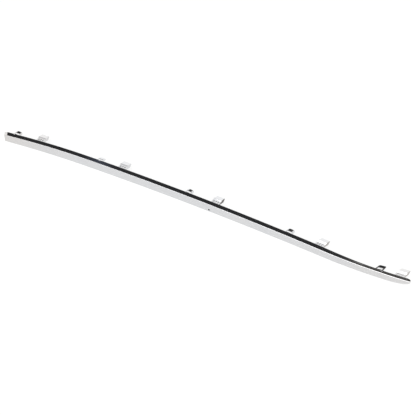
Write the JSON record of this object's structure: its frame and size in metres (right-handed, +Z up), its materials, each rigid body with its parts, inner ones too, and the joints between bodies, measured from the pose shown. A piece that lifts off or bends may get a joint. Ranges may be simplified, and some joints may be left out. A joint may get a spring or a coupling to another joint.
{
  "type": "bumper trim strip",
  "caption": "Long slender chromed trim moulding with an upright face, a narrow top ledge and a mild S bend, with barbed snap tabs and small loop tabs along its back edge.",
  "frame": {"origin": "on the floor at mid-length, under the middle of the lower return", "axes": "+X from the blunt left end towards the nose, +Y backwards from the face towards the tabs, +Z up"},
  "size_m": [1.0071, 0.0529, 0.0255],
  "materials": {
    "chrome_plating": "bright polished chrome plating on moulded plastic"
  },
  "bodies": {
    "root": {"trim_strip": "chrome_plating"}
  },
  "joints": []
}
